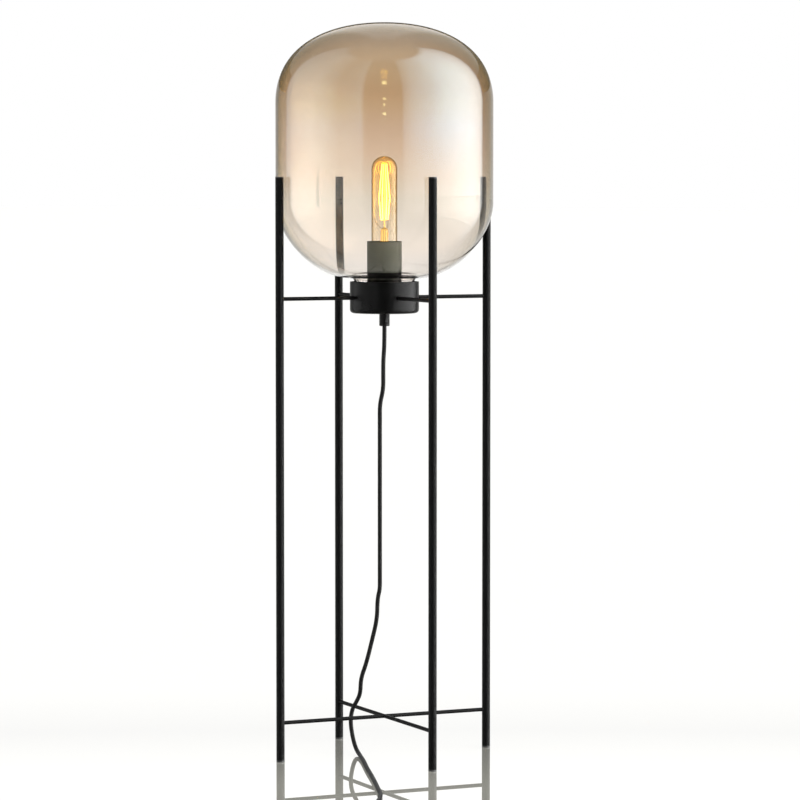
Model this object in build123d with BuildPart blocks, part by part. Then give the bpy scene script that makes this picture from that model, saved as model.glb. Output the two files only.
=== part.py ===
# Glass floor lamp, in millimetres.
# Origin: on the lamp's axis, at the floor. +Z is up. The legs stand at the corners of a square.
import math
import os

from build123d import *

os.makedirs("parts", exist_ok=True)

# Overall
lamp_height = 850.0
running_gap = 0.3  # between pieces that move apart
weld_gap = 0.05  # between a piece and the hole that holds it fast

# Glass shade
glass_diameter = 252.0
glass_wall = 2.5
crown_depth = 92.0  # from the top down to where the side is upright
crown_fullness = 0.62  # how far the crown's curve keeps to its corner
belly_depth = 88.5  # from where the side is upright down to the underside of the body
belly_fullness = 0.48
neck_diameter = 70.0
neck_length = 35.2  # below the underside of the body
neck_fillet = 4.0

# Legs
leg_diameter = 9.5
leg_wall = 1.2
leg_top = 672.5
leg_glass_gap = 0.75  # between a leg and the glass beside it
leg_cap_thickness = 1.5
glide_thickness = 2.0
glide_edge = 0.5
plug_stem_length = 9.0

# Rods
rod_diameter = 4.5
arm_rise = 18.0  # of the arms' middle above the cup's underside
rail_height = 45.0
rod_reach = 0.5  # of a rod into the bore of its leg

# Holder cup
cup_diameter = 80.0
cup_wall = 1.5
cup_floor = 2.0
cup_bottom = 515.0
cup_height = 36.5
cup_corner = 4.5
seat_base = 3.0
seat_bore = 64.0
seat_lip_height = 9.0
seat_play = 0.2  # between the rubber and the cup's wall

# Nipple, nut and washer
nipple_diameter = 10.0
nipple_bore = 7.5
nipple_stand = 1.3  # above the boss that it is screwed into
thread_gap = 0.1
washer_diameter = 22.0
washer_thickness = 1.5
nut_flats = 14.0
nut_thickness = 4.0

# Cord grip
grip_diameter = 12.0
grip_length = 15.0
grip_thread_depth = 5.5
grip_edge = 0.6
grip_play = 0.2  # between the cord and the grip's bore
grip_screw_diameter = 4.6
grip_screw_height = 6.0  # above the grip's lower end
grip_screw_angle = -35.0
screw_proud = 0.1
screw_slot_width = 0.9
screw_slot_depth = 1.0

# Lampholder
cover_diameter = 40.2
cover_wall = 0.8
cover_floor = 1.2
cover_height = 75.5
cover_edge = 1.5
boss_height = 9.5  # solid lower part of the lampholder's cap
cap_height = 21.3
cap_edge = 1.5
holder_height = 40.0
holder_floor = 9.0
holder_chamber = 3.0
insulation_wall = 2.0
shell_bore = 27.0
shell_wall = 0.45
shell_flange_bore = 20.0
shell_recess = 0.5  # of the shell below the body's rim
post_diameter = 4.0
post_length = 11.0
live_post_x = 5.5
neutral_post_x = -11.5
contact_thickness = 0.5
contact_width = 5.0
contact_foot = 2.0  # past the middle of the live post
contact_rise = 3.2  # of its tip above the bottom of the screw shell

# Bulb
bulb_length = 136.0
bulb_diameter = 30.0
bulb_wall = 0.9
bulb_swell = 8.0  # height over which the neck widens above the cap
bulb_neck_diameter = 24.4
bulb_neck_in_cap = 6.0
bulb_cap_diameter = 26.0
bulb_cap_length = 27.0
bulb_cap_wall = 0.5
bulb_cap_slope = 2.5
bulb_cap_lip = 3.0
tip_diameter = 9.0
tip_thickness = 1.7
tip_edge = 1.0
insulator_height = 3.8
insulator_bottom_diameter = 11.0
insulator_top_diameter = 23.0
stem_length = 32.0
stem_diameter = 9.0
stem_lift = 0.5  # of the stem's foot above the end of the envelope's neck
stem_gap = 0.1
stem_rim = 1.2
stem_flare = 12.0
mount_rod_diameter = 1.4
mount_rod_tip = 2.0  # above the upper ring of hooks
hook_wire_diameter = 0.5
filament_wire_diameter = 0.7
filament_strands = 8
filament_rise = 9.0  # of its lower ring above the stem
filament_length = 64.0
filament_belly = 25.0  # height of its widest ring above the lower one
filament_foot_radius = 4.4
filament_middle_radius = 6.6
filament_head_radius = 2.9
filament_bend = 1.0

# Cord
cord_diameter = 5.0
wire_diameter = 2.0
wire_spacing = 2.6
wire_bend = 2.6
wire_rise = 5.0  # height over which a wire crosses from the nipple to its post
jacket_in_nipple = 3.0
coil_radius = 35.0  # of the outermost turn's middle line
coil_pitch = 5.6  # between turns, across and up
coil_turns_per_layer = 2
coil_x = -40.0
tail_y = -497.0  # the line on which switch, coil and plug lie
switch_lead_length = 15.0  # straight cord before the switch
tail_lead_length = 5.5  # straight cord behind the switch
coil_lead_length = 9.0  # straight cord before the coil
plug_lead_length = 7.5  # straight cord at the plug and as it leaves the coil

# Foot switch
switch_length = 60.0
switch_width = 28.0
switch_height = 16.0
switch_split = 7.5
switch_wall = 2.0
switch_edge = 1.8
switch_corner = 9.0
switch_x = 40.0
switch_cord_height = 4.2
button_diameter = 18.0
button_flange = 21.0
button_flange_thickness = 1.6
button_travel = 2.5
button_down = 1.0  # how proud it stays when it is pressed
button_wall = 1.6
button_edge = 1.2
spring_diameter = 7.0
spring_wire = 0.8
strip_length = 10.0
strip_width = 6.0
strip_thickness = 1.2
strip_gap = 1.5  # between the spring and the contact strip
relief_length = 20.0
relief_thick = 8.0
relief_thin = 6.4

# Plug
plug_length = 34.0
plug_width = 35.3
plug_nose_width = 27.0
plug_nose_length = 6.0
plug_rear_width = 19.0
plug_rear_length = 12.0
plug_thickness = 13.7
plug_edge = 2.5
plug_rim = 1.2
pin_diameter = 4.0
pin_length = 19.0
pin_spacing = 19.0
pin_edge = 1.0
plug_x = -92.0  # rear face of the plug's body

# Where things come to stand
glass_radius = glass_diameter / 2
neck_radius = neck_diameter / 2
cup_radius = cup_diameter / 2
cup_bore_radius = cup_radius - cup_wall
cup_inside = cup_bottom + cup_floor
cup_top = cup_bottom + cup_height
arm_height = cup_bottom + arm_rise
neck_end = cup_inside + seat_base + running_gap
belly_height = neck_end + neck_length
leg_circle = glass_radius + leg_glass_gap + leg_diameter / 2
leg_bore = leg_diameter - 2 * leg_wall
leg_tube_top = leg_top - leg_cap_thickness
rod_outer_end = leg_circle - leg_bore / 2 + rod_reach
nut_bottom = cup_inside + washer_thickness
cover_bottom = nut_bottom + nut_thickness
cover_top = cover_bottom + cover_height
cap_bottom = cover_bottom + cover_floor
boss_top = cap_bottom + boss_height
nipple_top = boss_top + nipple_stand
holder_bottom = cap_bottom + cap_height
holder_top = holder_bottom + holder_height
insulation_radius = cover_diameter / 2 - cover_wall - running_gap
shell_bottom = holder_bottom + holder_chamber + holder_floor
shell_radius = shell_bore / 2 + shell_wall
grip_bottom = cup_bottom - grip_length
nipple_bottom = cup_bottom - grip_thread_depth
cord_radius = cord_diameter / 2
cord_jacket_end = nipple_bottom + jacket_in_nipple
bulb_bottom = shell_bottom + contact_rise + running_gap
bulb_top = bulb_bottom + bulb_length
button_top = switch_height + button_down + button_travel

corners = {"front_right": -45.0, "back_right": 45.0, "back_left": 135.0, "front_left": 225.0}


def save(piece, name):
    piece.part.label = name
    export_step(piece.part, f"parts/{name}.step")


def direction(angle):
    return Vector(math.cos(math.radians(angle)), math.sin(math.radians(angle)), 0)


def upright(angle, radius=0.0, height=0.0):
    """A plane that faces up at that place on the circle, its X pointing outwards."""
    out = direction(angle)
    return Plane(origin=out * radius + Vector(0, 0, height), x_dir=out, z_dir=(0, 0, 1))


def outward(angle, radius, height):
    """A plane that faces outwards at that place on the circle."""
    out = direction(angle)
    return Plane(origin=out * radius + Vector(0, 0, height), x_dir=(0, 0, 1), z_dir=out)


# Glass shade: one turned shell, open at the neck
def shade_outline(inset):
    """The shade's outline from the neck's end to the middle of the crown, moved in by inset."""
    side = glass_radius - inset
    top = lamp_height - inset
    low = belly_height + inset
    neck = neck_radius - inset
    shoulder = lamp_height - crown_depth
    hip = belly_height + belly_depth
    turn = neck_radius + neck_fillet  # where the belly turns down into the neck
    Line((neck, neck_end), (neck, belly_height - neck_fillet))
    CenterArc((turn, belly_height - neck_fillet), neck_fillet + inset, 180, -90)
    Bezier(
        (turn, low),
        (turn + (side - turn) * belly_fullness, low),
        (side, hip - (hip - low) * belly_fullness),
        (side, hip),
    )
    Line((side, hip), (side, shoulder))
    Bezier(
        (side, shoulder),
        (side, shoulder + (top - shoulder) * crown_fullness),
        (side * crown_fullness, top),
        (0, top),
    )


with BuildPart() as glass_shade:
    with BuildSketch(Plane.XZ):
        with BuildLine():
            shade_outline(0)
            shade_outline(glass_wall)
            Line((neck_radius - glass_wall, neck_end), (neck_radius, neck_end))
            Line((0, lamp_height - glass_wall), (0, lamp_height))
        make_face()
    revolve(axis=Axis.Z)
save(glass_shade, "glass_shade")

# Legs: tubes with a hole for each rod that is welded in, and a plug in both ends
for corner, angle in corners.items():
    with BuildPart() as leg:
        with BuildSketch(upright(angle, leg_circle, glide_thickness)):
            Circle(leg_diameter / 2)
            Circle(leg_bore / 2, mode=Mode.SUBTRACT)
        extrude(amount=leg_tube_top - glide_thickness)
        for height in (rail_height, arm_height):
            with BuildSketch(outward(angle, leg_circle - leg_diameter, height)):
                Circle(rod_diameter / 2 + weld_gap)
            extrude(amount=leg_diameter, mode=Mode.SUBTRACT)
    save(leg, f"leg_{corner}")

    with BuildPart() as glide:
        with BuildSketch(upright(angle, leg_circle)):
            Circle(leg_diameter / 2)
        extrude(amount=glide_thickness)
        fillet(glide.edges().sort_by(Axis.Z)[0], glide_edge)
        with BuildSketch(upright(angle, leg_circle, glide_thickness)):
            Circle(leg_bore / 2 - weld_gap)
        extrude(amount=plug_stem_length)
    save(glide, f"glide_{corner}")

    with BuildPart() as leg_cap:
        with BuildSketch(upright(angle, leg_circle, leg_tube_top)):
            Circle(leg_diameter / 2)
        extrude(amount=leg_cap_thickness)
        with BuildSketch(upright(angle, leg_circle, leg_tube_top)):
            Circle(leg_bore / 2 - weld_gap)
        extrude(amount=-plug_stem_length)
    save(leg_cap, f"leg_cap_{corner}")

# Rods: four arms from the cup to the legs, and the lower cross
for corner, angle in corners.items():
    with BuildPart() as arm:
        with BuildSketch(outward(angle, cup_bore_radius, arm_height)):
            Circle(rod_diameter / 2)
        extrude(amount=rod_outer_end - cup_bore_radius)
    save(arm, f"arm_{corner}")

with BuildPart() as rail_long:
    with BuildSketch(outward(corners["back_right"], -rod_outer_end, rail_height)):
        Circle(rod_diameter / 2)
    extrude(amount=2 * rod_outer_end)
save(rail_long, "rail_long")

for corner in ("front_right", "back_left"):
    with BuildPart() as rail_half:
        with BuildSketch(outward(corners[corner], rod_diameter / 2, rail_height)):
            Circle(rod_diameter / 2)
        extrude(amount=rod_outer_end - rod_diameter / 2)
    save(rail_half, f"rail_half_{corner}")

# Holder cup, with its seat ring for the glass
with BuildPart() as holder_cup:
    with BuildSketch(Plane.XY.offset(cup_bottom)):
        Circle(cup_radius)
    extrude(amount=cup_top - cup_bottom)
    fillet(holder_cup.edges().group_by(Axis.Z)[0], cup_corner)
    with BuildSketch(Plane.XY.offset(cup_inside)):
        Circle(cup_bore_radius)
    extrude(amount=cup_top - cup_inside, mode=Mode.SUBTRACT)
    with BuildSketch(Plane.XY.offset(cup_bottom)):
        Circle(nipple_diameter / 2 + thread_gap)
    extrude(amount=cup_floor, mode=Mode.SUBTRACT)
    for angle in corners.values():
        with BuildSketch(outward(angle, cup_bore_radius - cup_wall, arm_height)):
            Circle(rod_diameter / 2 + weld_gap)
        extrude(amount=3 * cup_wall, mode=Mode.SUBTRACT)
save(holder_cup, "holder_cup")

with BuildPart() as seat_ring:
    seat_outer = cup_bore_radius - seat_play
    with BuildSketch(Plane.XY.offset(cup_inside)):
        Circle(seat_outer)
        Circle(seat_bore / 2, mode=Mode.SUBTRACT)
    extrude(amount=seat_base)
    with BuildSketch(Plane.XY.offset(cup_inside + seat_base)):
        Circle(seat_outer)
        Circle(neck_radius + running_gap, mode=Mode.SUBTRACT)
    extrude(amount=seat_lip_height)
save(seat_ring, "seat_ring")

# Nipple, washer and nut hold grip, cup and lampholder together
with BuildPart() as nipple:
    with BuildSketch(Plane.XY.offset(nipple_bottom)):
        Circle(nipple_diameter / 2)
        Circle(nipple_bore / 2, mode=Mode.SUBTRACT)
    extrude(amount=nipple_top - nipple_bottom)
save(nipple, "nipple")

with BuildPart() as cup_washer:
    with BuildSketch(Plane.XY.offset(cup_inside)):
        Circle(washer_diameter / 2)
        Circle(nipple_diameter / 2 + thread_gap, mode=Mode.SUBTRACT)
    extrude(amount=washer_thickness)
save(cup_washer, "cup_washer")

with BuildPart() as cup_nut:
    with BuildSketch(Plane.XY.offset(nut_bottom)):
        RegularPolygon(nut_flats / 2, 6, major_radius=False)
        Circle(nipple_diameter / 2 + thread_gap, mode=Mode.SUBTRACT)
    extrude(amount=nut_thickness)
save(cup_nut, "cup_nut")

# Cord grip, with a slotted grub screw that presses on the cord's jacket
screw_height = grip_bottom + grip_screw_height
with BuildPart() as cord_grip:
    with BuildSketch(Plane.XY.offset(grip_bottom)):
        Circle(grip_diameter / 2)
    extrude(amount=grip_length)
    chamfer(cord_grip.edges().group_by(Axis.Z)[0], grip_edge)
    with BuildSketch(Plane.XY.offset(nipple_bottom)):
        Circle(nipple_diameter / 2 + thread_gap)
    extrude(amount=grip_thread_depth, mode=Mode.SUBTRACT)
    with BuildSketch(Plane.XY.offset(grip_bottom)):
        Circle(cord_radius + grip_play)
    extrude(amount=grip_length - grip_thread_depth, mode=Mode.SUBTRACT)
    with BuildSketch(outward(grip_screw_angle, 0, screw_height)):
        Circle(grip_screw_diameter / 2 + thread_gap)
    extrude(amount=grip_diameter, mode=Mode.SUBTRACT)
save(cord_grip, "cord_grip")

with BuildPart() as grip_screw:
    screw_face = grip_diameter / 2 + screw_proud
    screw_tip = cord_radius + weld_gap
    with BuildSketch(outward(grip_screw_angle, screw_tip, screw_height)):
        Circle(grip_screw_diameter / 2)
    extrude(amount=screw_face - screw_tip)
    with BuildSketch(outward(grip_screw_angle, screw_face, screw_height)):
        Rectangle(screw_slot_width, grip_screw_diameter)
    extrude(amount=-screw_slot_depth, mode=Mode.SUBTRACT)
save(grip_screw, "grip_screw")

# Lampholder: cover, cap, body, screw shell, contact and posts
with BuildPart() as holder_cover:
    with BuildSketch(Plane.XY.offset(cover_bottom)):
        Circle(cover_diameter / 2)
    extrude(amount=cover_top - cover_bottom)
    fillet(holder_cover.edges().group_by(Axis.Z)[0], cover_edge)
    with BuildSketch(Plane.XY.offset(cap_bottom)):
        Circle(cover_diameter / 2 - cover_wall)
    extrude(amount=cover_top - cap_bottom, mode=Mode.SUBTRACT)
    with BuildSketch(Plane.XY.offset(cover_bottom)):
        Circle(nipple_diameter / 2 + thread_gap)
    extrude(amount=cover_floor, mode=Mode.SUBTRACT)
save(holder_cover, "holder_cover")

with BuildPart() as holder_cap:
    with BuildSketch(Plane.XY.offset(cap_bottom)):
        Circle(insulation_radius)
    extrude(amount=cap_height)
    fillet(holder_cap.edges().group_by(Axis.Z)[0], cap_edge)
    with BuildSketch(Plane.XY.offset(boss_top)):
        Circle(insulation_radius - insulation_wall)
    extrude(amount=holder_bottom - boss_top, mode=Mode.SUBTRACT)
    with BuildSketch(Plane.XY.offset(cap_bottom)):
        Circle(nipple_diameter / 2 + thread_gap)
    extrude(amount=boss_height, mode=Mode.SUBTRACT)
save(holder_cap, "holder_cap")

post_places = [(live_post_x, 0), (neutral_post_x, 0)]
with BuildPart() as holder_body:
    with BuildSketch(Plane.XY.offset(holder_bottom)):
        Circle(insulation_radius)
    extrude(amount=holder_top - holder_bottom)
    with BuildSketch(Plane.XY.offset(holder_bottom)):
        Circle(insulation_radius - insulation_wall)
    extrude(amount=holder_chamber, mode=Mode.SUBTRACT)
    with BuildSketch(Plane.XY.offset(shell_bottom)):
        Circle(shell_radius + weld_gap)
    extrude(amount=holder_top - shell_bottom, mode=Mode.SUBTRACT)
    with BuildSketch(Plane.XY.offset(holder_bottom)):
        with Locations(*post_places):
            Circle(post_diameter / 2 + weld_gap)
    extrude(amount=shell_bottom - holder_bottom, mode=Mode.SUBTRACT)
save(holder_body, "holder_body")

with BuildPart() as screw_shell:
    with BuildSketch(Plane.XY.offset(shell_bottom)):
        Circle(shell_radius)
        Circle(shell_flange_bore / 2, mode=Mode.SUBTRACT)
    extrude(amount=contact_thickness)
    with BuildSketch(Plane.XY.offset(shell_bottom + contact_thickness)):
        Circle(shell_radius)
        Circle(shell_bore / 2, mode=Mode.SUBTRACT)
    extrude(amount=holder_top - shell_recess - shell_bottom - contact_thickness)
save(screw_shell, "screw_shell")

with BuildPart() as centre_contact:
    strip_middle = shell_bottom + contact_thickness / 2
    tip_middle = shell_bottom + contact_rise - contact_thickness / 2
    with BuildSketch(Plane.XZ):
        with BuildLine():
            Polyline(
                (live_post_x + contact_foot, strip_middle),
                (live_post_x - contact_foot, strip_middle),
                (-contact_width / 2, tip_middle),
            )
        trace(line_width=contact_thickness)
    extrude(amount=contact_width / 2, both=True)
save(centre_contact, "centre_contact")

for name, (x, y) in zip(("terminal_live", "terminal_neutral"), post_places):
    with BuildPart() as terminal:
        with BuildSketch(Plane.XY.offset(shell_bottom - post_length)):
            with Locations((x, y)):
                Circle(post_diameter / 2)
        extrude(amount=post_length)
    save(terminal, name)

# Wires from the end of the jacket to the posts
post_bottom = shell_bottom - post_length
for name, side, post_x in (
    ("wire_live", 1, live_post_x),
    ("wire_neutral", -1, neutral_post_x),
):
    start = side * wire_spacing / 2
    with BuildPart() as wire:
        with BuildLine() as wire_path:
            FilletPolyline(
                (start, 0, cord_jacket_end),
                (start, 0, nipple_top),
                (post_x, 0, nipple_top + wire_rise),
                (post_x, 0, post_bottom),
                radius=wire_bend,
            )
        with BuildSketch(Plane((start, 0, cord_jacket_end))):
            Circle(wire_diameter / 2)
        sweep(path=wire_path.line)
    save(wire, name)

# Bulb: tip contact, insulator, cap, envelope, stem, supports and filament
tip_top = bulb_bottom + tip_thickness
cap_start = tip_top + insulator_height
cap_end = bulb_bottom + bulb_cap_length
with BuildPart() as bulb_contact:
    with BuildSketch(Plane.XY.offset(bulb_bottom)):
        Circle(tip_diameter / 2)
    extrude(amount=tip_thickness)
    fillet(bulb_contact.edges().sort_by(Axis.Z)[0], tip_edge)
save(bulb_contact, "bulb_contact")

with BuildPart() as bulb_insulator:
    with BuildSketch(Plane.XZ):
        Polygon(
            (0, tip_top),
            (insulator_bottom_diameter / 2, tip_top),
            (insulator_top_diameter / 2, cap_start),
            (0, cap_start),
            align=None,
        )
    revolve(axis=Axis.Z)
save(bulb_insulator, "bulb_insulator")

with BuildPart() as bulb_cap:
    cap_side = (bulb_cap_diameter - bulb_cap_wall) / 2
    cap_lip = insulator_top_diameter / 2
    lip_middle = cap_start + bulb_cap_wall / 2
    with BuildSketch(Plane.XZ):
        with BuildLine():
            Polyline(
                (cap_lip - bulb_cap_lip, lip_middle),
                (cap_lip, lip_middle),
                (cap_side, cap_start + bulb_cap_slope),
                (cap_side, cap_end),
            )
        trace(line_width=bulb_cap_wall)
    revolve(axis=Axis.Z)
save(bulb_cap, "bulb_cap")

neck_seat = cap_end - bulb_neck_in_cap


def envelope_outline(inset):
    """The envelope's outline from its seat in the cap to the middle of its round end."""
    neck = bulb_neck_diameter / 2 - inset
    side = bulb_diameter / 2 - inset
    swell = cap_end + bulb_swell
    dome = bulb_top - bulb_diameter / 2
    halfway = cap_end + bulb_swell / 2
    Line((neck, neck_seat), (neck, cap_end))
    Bezier((neck, cap_end), (neck, halfway), (side, halfway), (side, swell))
    Line((side, swell), (side, dome))
    CenterArc((0, dome), side, 0, 90)


with BuildPart() as bulb_glass:
    with BuildSketch(Plane.XZ):
        with BuildLine():
            envelope_outline(0)
            envelope_outline(bulb_wall)
            Line(
                (bulb_neck_diameter / 2 - bulb_wall, neck_seat),
                (bulb_neck_diameter / 2, neck_seat),
            )
            Line((0, bulb_top - bulb_wall), (0, bulb_top))
        make_face()
    revolve(axis=Axis.Z)
save(bulb_glass, "bulb_glass")

stem_foot = neck_seat + stem_lift
stem_top = stem_foot + stem_length
with BuildPart() as bulb_stem:
    foot = bulb_neck_diameter / 2 - bulb_wall - stem_gap
    waist = stem_diameter / 2
    rim_top = stem_foot + stem_rim
    flare_top = stem_foot + stem_flare
    with BuildSketch(Plane.XZ):
        with BuildLine():
            Line((0, stem_foot), (foot, stem_foot))
            Line((foot, stem_foot), (foot, rim_top))
            Bezier(
                (foot, rim_top),
                (waist, rim_top),
                (waist, (rim_top + flare_top) / 2),
                (waist, flare_top),
            )
            Line((waist, flare_top), (waist, stem_top - waist))
            CenterArc((0, stem_top - waist), waist, 0, 90)
            Line((0, stem_top), (0, stem_foot))
        make_face()
    revolve(axis=Axis.Z)
save(bulb_stem, "bulb_stem")

filament_bottom = stem_top + filament_rise
filament_top = filament_bottom + filament_length
hook_rings = (
    (filament_bottom, filament_foot_radius),
    (filament_bottom + filament_belly, filament_middle_radius),
    (filament_top, filament_head_radius),
)
hook_radius = hook_wire_diameter / 2
with BuildPart() as bulb_supports:
    with BuildSketch(Plane.XY.offset(stem_top)):
        Circle(mount_rod_diameter / 2)
    extrude(amount=filament_top + mount_rod_tip - stem_top)
    for height, reach in hook_rings:
        for turn in range(filament_strands // 2):
            spoke_angle = 360 * turn / (filament_strands // 2)
            with BuildSketch(outward(spoke_angle, 0, height)):
                Circle(hook_radius)
            extrude(amount=reach - filament_wire_diameter / 2 - weld_gap)
save(bulb_supports, "bulb_supports")

with BuildPart() as bulb_filament:
    filament_route = []
    for strand in range(filament_strands):
        out = direction(360 * strand / filament_strands)
        upwards = hook_rings if strand % 2 == 0 else hook_rings[::-1]
        filament_route += [out * reach + Vector(0, 0, height) for height, reach in upwards]
    with BuildLine() as filament_line:
        FilletPolyline(*filament_route, radius=filament_bend)
    filament_path = filament_line.wire()
    with BuildSketch(Plane(filament_path @ 0, z_dir=filament_path % 0)):
        Circle(filament_wire_diameter / 2)
    sweep(path=filament_path)
save(bulb_filament, "bulb_filament")

# Cord: the jacket in the grip, then the free lead, the switch, the coil and the plug
with BuildPart() as cord_inlet:
    with BuildSketch(Plane.XY.offset(grip_bottom)):
        Circle(cord_radius)
    extrude(amount=cord_jacket_end - grip_bottom)
save(cord_inlet, "cord_inlet")

switch_near_end = switch_x + switch_length / 2 + relief_length
switch_far_end = switch_x - switch_length / 2 - relief_length
layer_height = coil_pitch
upper_layer = cord_radius + layer_height
coil_lead = cord_diameter  # straight run at each end of the coil
floor = cord_radius  # middle line of a cord that lies on the floor

lead_route = [
    (0, 0, grip_bottom),
    (0, 0, 464),
    (-4.2, -0.8, 410),
    (-6.4, 1.2, 340),
    (-7.6, 4.6, 276),
    (-9.2, 8.2, 212),
    (-12.4, 10.4, 162),
    (-23.6, 11.6, 114),
    (-33.8, 11.0, 77),
    (-44.0, 11.6, 46),
    (-42.5, 7.0, 22),
    (-34.4, -5.2, 6.5),
    (-21.0, -27.0, floor),
    (-1.0, -66.0, floor),
    (23.2, -117.5, floor),
    (50.9, -173.0, floor),
    (78.0, -230.0, floor),
    (104.5, -286.5, floor),
    (117.0, -342.0, floor),
    (125.0, -397.0, floor),
    (128.0, -446.0, floor),
    (127.5, -475.0, floor),
    (119.5, -489.0, floor + 0.9),
    (switch_near_end + switch_lead_length, tail_y, switch_cord_height),
    (switch_near_end, tail_y, switch_cord_height),
]
tail_route = [
    (switch_far_end, tail_y, switch_cord_height),
    (switch_far_end - tail_lead_length, tail_y, switch_cord_height),
    (coil_x + coil_lead + coil_lead_length, tail_y, floor),
    (coil_x + coil_lead, tail_y, floor),
]
plug_relief_end = plug_x + relief_length
end_route = [
    (coil_x - coil_lead, tail_y, upper_layer),
    (coil_x - coil_lead - plug_lead_length, tail_y, upper_layer),
    (plug_relief_end + plug_lead_length, tail_y, plug_thickness / 2),
    (plug_relief_end, tail_y, plug_thickness / 2),
]


def bend_radii(route):
    """The largest radius at each inner point that leaves its two runs a straight middle."""
    points = [Vector(*point) for point in route]
    radii = []
    for before, here, after in zip(points, points[1:], points[2:]):
        arriving, leaving = here - before, after - here
        turn = math.radians(arriving.get_angle(leaving))
        shorter = min(arriving.length, leaving.length)
        radii.append(0.45 * shorter / math.tan(turn / 2))
    return radii


def cord_tube(route, name):
    radii = bend_radii(route)
    with BuildPart() as tube:
        with BuildLine() as middle_line:
            FilletPolyline(*route, radius=radii)
        path = middle_line.wire()
        with BuildSketch(Plane(path @ 0, z_dir=path % 0)):
            Circle(cord_radius)
        sweep(path=path)
    section = math.pi * cord_radius**2
    share = tube.part.volume / (section * path.length)
    print(f"{name}: length {path.length:.1f}, volume share {share:.4f}")
    print(f"  radii {[round(r) for r in radii]}")
    save(tube, name)
    return path.length


lead_length = cord_tube(lead_route, "cord_lead")
tail_length = cord_tube(tail_route, "cord_tail")
end_length = cord_tube(end_route, "cord_end")


# The coil: two layers of turns, spiralling in on the floor and out again on top
def coil_crossings():
    """Where the coil's middle line crosses the line x = coil_x, one point for each half turn."""
    half_turns = 2 * coil_turns_per_layer
    step = coil_pitch / 2
    inward = [coil_radius - step * k for k in range(half_turns)]
    climbing = [coil_radius - step * half_turns]
    outward_again = inward[:0:-1]
    radii = inward + climbing + outward_again
    points = [Vector(coil_x, tail_y, floor)]
    for number, radius in enumerate(radii):
        side = 1 if number % 2 == 0 else -1
        height = floor if number < half_turns else upper_layer
        points.append(Vector(coil_x, points[-1].Y + side * 2 * radius, height))
    return points


with BuildPart() as cord_coil:
    crossings = coil_crossings()
    with BuildLine() as coil_line:
        Line(crossings[0] + Vector(coil_lead, 0, 0), crossings[0])
        heading = Vector(-1, 0, 0)
        for start, end in zip(crossings, crossings[1:]):
            reach = (end - start).length / 2
            halfway = (start + end) / 2 + heading * reach
            across = (end - start).normalized()
            TangentArc(start, halfway, tangent=heading)
            TangentArc(halfway, end, tangent=across)
            heading = heading * -1
        Line(crossings[-1], crossings[-1] + heading * coil_lead)
    coil_path = coil_line.wire()
    with BuildSketch(Plane(coil_path @ 0, z_dir=coil_path % 0)):
        Circle(cord_radius)
    sweep(path=coil_path)
save(cord_coil, "cord_coil")


def least_self_gap(path, count=900):
    """The least distance between the tube's own surfaces, apart from its near neighbours."""
    spacing = path.length / count
    points = [path @ (k / count) for k in range(count + 1)]
    apart = math.ceil(3 * cord_diameter / spacing)
    return (
        min(
            (points[i] - points[j]).length
            for i in range(count + 1)
            for j in range(i + apart, count + 1)
        )
        - cord_diameter
    )


print(f"cord_coil: length {coil_path.length:.1f}, least gap {least_self_gap(coil_path):.2f}")
inside_switch = switch_length + 2 * relief_length
cord_length = lead_length + inside_switch + tail_length + coil_path.length + end_length
print(f"cord from grip to plug: {cord_length:.0f}")

# Foot switch: base, cover, button, spring, contact strip and strain reliefs
switch_place = (switch_x, tail_y)
switch_inside = (switch_length - 2 * switch_wall, switch_width - 2 * switch_wall)

with BuildPart() as switch_base:
    with BuildSketch():
        with Locations(switch_place):
            RectangleRounded(switch_length, switch_width, switch_corner)
    extrude(amount=switch_split)
    fillet(switch_base.edges().group_by(Axis.Z)[0], switch_edge)
    with BuildSketch(Plane.XY.offset(switch_wall)):
        with Locations(switch_place):
            RectangleRounded(*switch_inside, switch_corner - switch_wall)
    extrude(amount=switch_split - switch_wall, mode=Mode.SUBTRACT)
save(switch_base, "switch_base")

with BuildPart() as switch_cover:
    with BuildSketch(Plane.XY.offset(switch_split)):
        with Locations(switch_place):
            RectangleRounded(switch_length, switch_width, switch_corner)
    extrude(amount=switch_height - switch_split)
    fillet(switch_cover.edges().group_by(Axis.Z)[-1], switch_edge)
    with BuildSketch(Plane.XY.offset(switch_split)):
        with Locations(switch_place):
            RectangleRounded(*switch_inside, switch_corner - switch_wall)
    extrude(amount=switch_height - switch_wall - switch_split, mode=Mode.SUBTRACT)
    with BuildSketch(Plane.XY.offset(switch_height)):
        with Locations(switch_place):
            Circle(button_diameter / 2 + running_gap)
    extrude(amount=-switch_wall, mode=Mode.SUBTRACT)
save(switch_cover, "switch_cover")

flange_top = switch_height - switch_wall - running_gap
flange_bottom = flange_top - button_flange_thickness
with BuildPart() as switch_button:
    with BuildSketch(Plane.XY.offset(flange_bottom)):
        with Locations(switch_place):
            Circle(button_diameter / 2)
    extrude(amount=button_top - flange_bottom)
    fillet(switch_button.edges().group_by(Axis.Z)[-1], button_edge)
    with BuildSketch(Plane.XY.offset(flange_bottom)):
        with Locations(switch_place):
            Circle(button_flange / 2)
    extrude(amount=button_flange_thickness)
    with BuildSketch(Plane.XY.offset(flange_bottom)):
        with Locations(switch_place):
            Circle(button_diameter / 2 - button_wall)
    extrude(amount=button_top - button_wall - flange_bottom, mode=Mode.SUBTRACT)
save(switch_button, "switch_button")

spring_top = button_top - button_wall - running_gap
with BuildPart() as switch_spring:
    with BuildSketch(Plane.XY.offset(switch_wall)):
        with Locations(switch_place):
            Circle(spring_diameter / 2)
            Circle(spring_diameter / 2 - spring_wire, mode=Mode.SUBTRACT)
    extrude(amount=spring_top - switch_wall)
save(switch_spring, "switch_spring")

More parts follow.
